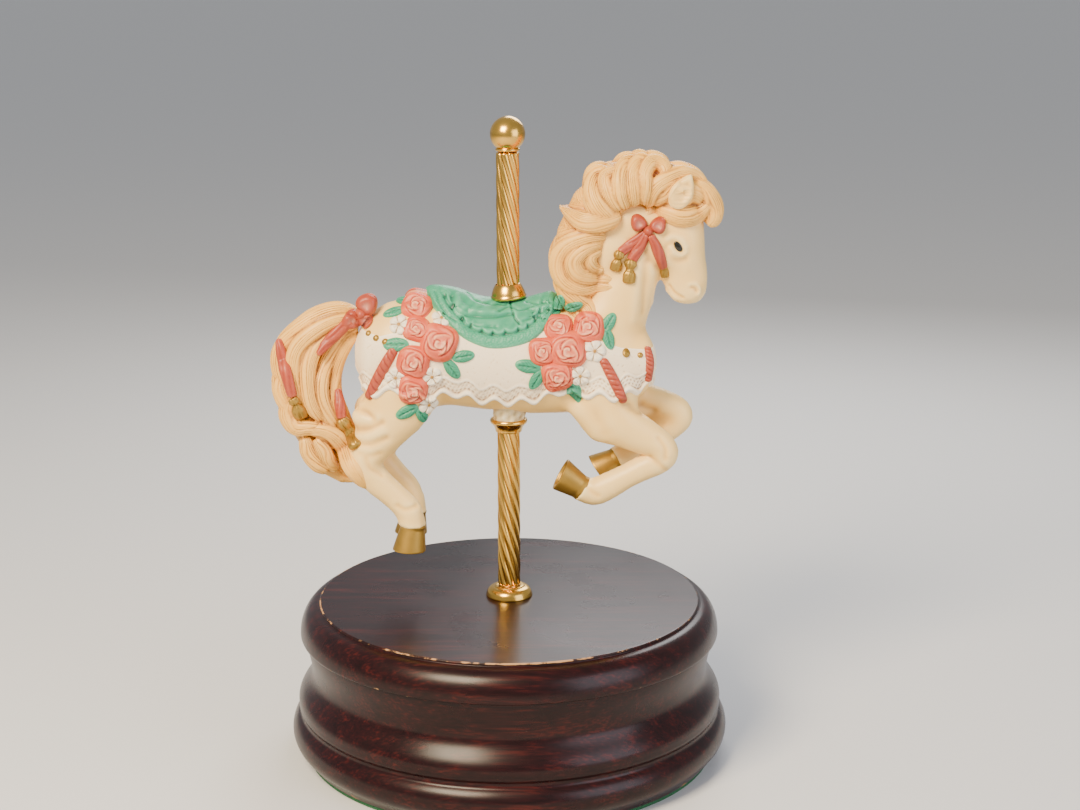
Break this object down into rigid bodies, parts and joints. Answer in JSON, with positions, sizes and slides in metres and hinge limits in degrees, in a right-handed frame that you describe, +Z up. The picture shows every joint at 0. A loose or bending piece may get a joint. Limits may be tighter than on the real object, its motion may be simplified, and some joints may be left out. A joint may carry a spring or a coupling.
{
  "type": "carousel music box",
  "caption": "Painted bisque carousel horse on a twisted brass pole, turned by a wind-up pinned-cylinder movement in a round turned wooden base.",
  "frame": {"origin": "centre of the felt's underside, on the pole's axis, in the plane that the object stands on", "axes": "+Z up along the pole; the horse faces +X; +Y is the horse's left"},
  "size_m": [0.1322, 0.1286, 0.1861],
  "materials": {
    "stained_wood": "satin dark mahogany stain and lacquer",
    "board_wood": "bare plywood",
    "green_felt": "pressed wool felt",
    "cast_zinc": "as-cast zinc alloy",
    "steel": "turned steel",
    "spring_steel": "tempered spring steel",
    "machined_brass": "turned brass",
    "polished_brass": "polished and lacquered brass",
    "aluminium_sheet": "thin sheet",
    "plaster": "cast plaster",
    "bisque_cream": "unglazed cream bisque porcelain",
    "gold_lustre": "fired gold paint",
    "black_enamel": "gloss black enamel",
    "tan_hair_glaze": "matt tan underglaze",
    "jade_glaze": "matt jade green underglaze",
    "white_lace_glaze": "matt white, pink-tinted",
    "coral_rose_glaze": "matt coral, pale at the petal edges",
    "coral_ribbon_glaze": "matt dusty coral"
  },
  "bodies": {
    "base": {"base_shell": "stained_wood", "bottom_board": "board_wood", "board_screws": "steel", "felt_ring": "green_felt", "pole_bush": "polished_brass", "bedplate": "cast_zinc", "bedplate_screws": "steel", "comb": "spring_steel", "comb_screws": "steel", "cylinder_bearings": "cast_zinc", "bearing_screws": "steel", "governor_frame": "cast_zinc", "governor_screw": "steel", "clutch_spring": "spring_steel"},
    "key": {"winding_key": "machined_brass", "winding_arbor": "steel"},
    "carousel": {"spring_barrel": "machined_brass", "barrel_cover": "machined_brass", "mainspring": "spring_steel", "crown_wheel": "machined_brass", "drive_sleeve": "machined_brass", "core_rod": "steel", "lower_pole": "polished_brass", "upper_pole": "polished_brass", "belly_collar": "polished_brass", "belly_filler": "plaster", "top_ferrule": "polished_brass", "finial": "polished_brass", "horse_casting": "bisque_cream", "hooves": "gold_lustre", "eyes": "black_enamel", "mane": "tan_hair_glaze", "tail": "tan_hair_glaze", "saddle": "jade_glaze", "lace_blanket": "white_lace_glaze", "roses": "coral_rose_glaze", "daisies": "white_lace_glaze", "leaves": "jade_glaze", "ribbon_straps": "coral_ribbon_glaze", "bows": "coral_ribbon_glaze", "tassels": "gold_lustre", "studs": "gold_lustre"},
    "cylinder": {"music_cylinder": "machined_brass", "cylinder_pins": "steel", "cylinder_arbor": "steel", "cylinder_pinion": "machined_brass", "great_wheel": "machined_brass"},
    "governor_wheel": {"governor_pinion": "steel", "worm_wheel": "machined_brass"},
    "fly": {"governor_worm": "steel", "air_brake_fly": "aluminium_sheet"}
  },
  "joints": [
    {"name": "pole_spin", "type": "hinge", "parent": "base", "child": "carousel", "pos_m": [0, 0, 0.0495], "axis": [0, 0, 1], "continuous": true},
    {"name": "key_wind", "type": "hinge", "parent": "base", "child": "key", "pos_m": [0, 0, 0.01], "axis": [0, 0, -1], "range_deg": [0, 2610]},
    {"name": "cylinder_spin", "type": "hinge", "parent": "base", "child": "cylinder", "pos_m": [-0.03, 0, 0.028], "axis": [1, 0, 0], "continuous": true},
    {"name": "governor_wheel_spin", "type": "hinge", "parent": "base", "child": "governor_wheel", "pos_m": [-0.036, 0.0105, 0.028], "axis": [1, 0, 0], "continuous": true},
    {"name": "fly_spin", "type": "hinge", "parent": "base", "child": "fly", "pos_m": [-0.036, 0.0145, 0.028], "axis": [0, 0, 1], "continuous": true}
  ],
  "couplings": [
    {"joint": "cylinder_spin", "follows": "pole_spin", "ratio": -4.5},
    {"joint": "governor_wheel_spin", "follows": "pole_spin", "ratio": 18},
    {"joint": "fly_spin", "follows": "pole_spin", "ratio": -108}
  ]
}
